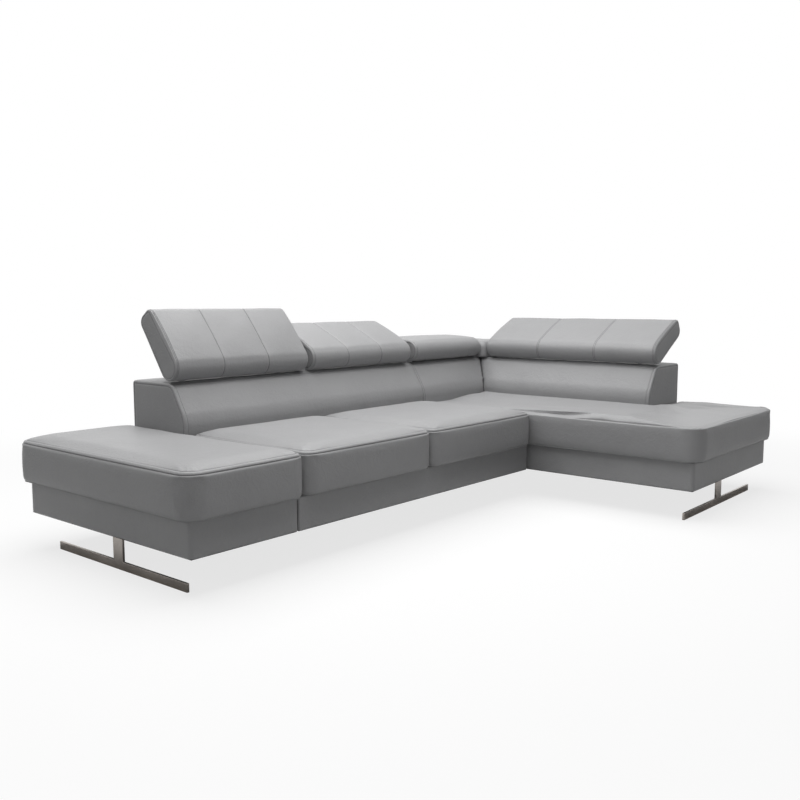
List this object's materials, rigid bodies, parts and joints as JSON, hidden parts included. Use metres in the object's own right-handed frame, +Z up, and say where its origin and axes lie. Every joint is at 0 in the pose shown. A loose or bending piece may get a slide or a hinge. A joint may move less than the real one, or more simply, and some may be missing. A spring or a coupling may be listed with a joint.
{
  "type": "corner sofa",
  "caption": "Leather corner sofa with an open end seat, fixed seat cushions, steel skid legs and a back that turns the corner; padded headrests tilt on friction hinges.",
  "frame": {"origin": "on the floor, under the middle of the whole outline", "axes": "+X along the long back towards the corner, +Y to the rear, +Z up"},
  "size_m": [3.11, 1.988, 0.956],
  "materials": {
    "seat_leather": "satin",
    "headrest_leather": "satin",
    "back_leather": "satin",
    "base_leather": "satin",
    "frame_board": "matte",
    "webbing": "matte",
    "dust_cover_cloth": "matte",
    "black_plastic": "matte",
    "polished_steel": "polished",
    "hinge_steel": "satin",
    "zinc_screws": "satin"
  },
  "bodies": {
    "sofa": {"back_foot_rails": "frame_board", "back_uprights": "frame_board", "block_feet": "black_plastic", "corner_block_pad": "back_leather", "dust_covers": "dust_cover_cloth", "end_base_front_panel": "base_leather", "end_base_left_panel": "base_leather", "end_base_rear_panel": "base_leather", "end_base_right_panel": "base_leather", "end_seat_cushion": "seat_leather", "hinge_ears": "hinge_steel", "joining_plates": "hinge_steel", "left_skid_leg": "polished_steel", "leg_bearers": "frame_board", "main_back_cheek": "back_leather", "main_back_pad": "back_leather", "main_back_rear_panel": "back_leather", "main_back_top_board": "back_leather", "main_base_front_panel": "base_leather", "main_base_left_panel": "base_leather", "main_base_rear_panel": "base_leather", "main_base_right_panel": "base_leather", "main_seat_rails": "frame_board", "return_back_cheek": "back_leather", "return_back_rear_panel": "back_leather", "return_back_side_panel": "back_leather", "return_base_front_panel": "base_leather", "return_base_inner_panel": "base_leather", "return_base_outer_panel": "base_leather", "return_base_rear_panel": "base_leather", "return_rear_pad": "back_leather", "return_rear_top_board": "back_leather", "return_seat_cushion": "seat_leather", "return_seat_rails": "frame_board", "return_side_pad": "back_leather", "return_side_top_board": "back_leather", "return_skid_leg": "polished_steel", "seat_cushion_one": "seat_leather", "seat_cushion_two": "seat_leather", "seat_webbing_straps": "webbing"},
    "headrest_1": {"headrest_1_board": "frame_board", "headrest_1_hinge_arms": "hinge_steel", "headrest_1_pad": "headrest_leather", "headrest_1_pivot_bolts": "zinc_screws"},
    "headrest_2": {"headrest_2_board": "frame_board", "headrest_2_hinge_arms": "hinge_steel", "headrest_2_pad": "headrest_leather", "headrest_2_pivot_bolts": "zinc_screws"},
    "headrest_3": {"headrest_3_board": "frame_board", "headrest_3_hinge_arms": "hinge_steel", "headrest_3_pad": "headrest_leather", "headrest_3_pivot_bolts": "zinc_screws"},
    "headrest_4": {"headrest_4_board": "frame_board", "headrest_4_hinge_arms": "hinge_steel", "headrest_4_pad": "headrest_leather", "headrest_4_pivot_bolts": "zinc_screws"}
  },
  "joints": [
    {"name": "headrest_1_tilt", "type": "hinge", "parent": "sofa", "child": "headrest_1", "pos_m": [-1.033, 0.695, 0.72], "axis": [1, 0, 0], "range_deg": [-49.5, 12]},
    {"name": "headrest_2_tilt", "type": "hinge", "parent": "sofa", "child": "headrest_2", "pos_m": [-0.231, 0.695, 0.72], "axis": [1, 0, 0], "range_deg": [-24.5, 37]},
    {"name": "headrest_3_tilt", "type": "hinge", "parent": "sofa", "child": "headrest_3", "pos_m": [0.5615, 0.695, 0.72], "axis": [1, 0, 0], "range_deg": [0, 61.5]},
    {"name": "headrest_4_tilt", "type": "hinge", "parent": "sofa", "child": "headrest_4", "pos_m": [1.256, 0.607, 0.72], "axis": [0, -1, 0], "range_deg": [-24.5, 37]}
  ]
}
